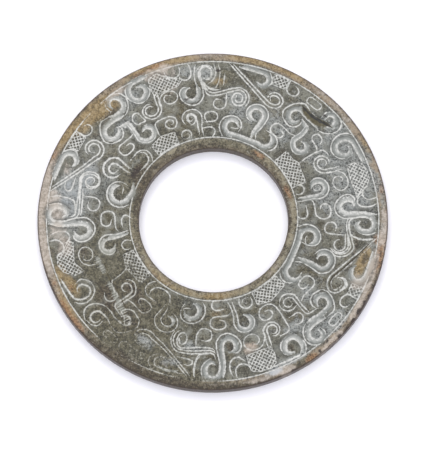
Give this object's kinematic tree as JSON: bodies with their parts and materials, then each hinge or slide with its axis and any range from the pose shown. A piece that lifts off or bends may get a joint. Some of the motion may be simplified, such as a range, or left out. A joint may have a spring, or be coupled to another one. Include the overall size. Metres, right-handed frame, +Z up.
{
  "type": "jade bi disc",
  "caption": "Flat jade ring with a wide central hole, its upper face carved with hooked scrolls, spirals and cross-hatching between two border lines, with a worn and chipped rim.",
  "frame": {"origin": "centre of the disc's outline, on the flat underside", "axes": "+Z up out of the carved face, square to the disc; +Y towards the side shown at the top, so bearings on the face run clockwise from +Y"},
  "size_m": [0.116, 0.116, 0.0044],
  "materials": {
    "jade": "olive-grey nephrite, waxy worn polish, whitened cuts, ochre and brown burial stains on the rim"
  },
  "bodies": {
    "root": {"bi_disc": "jade"}
  },
  "joints": []
}
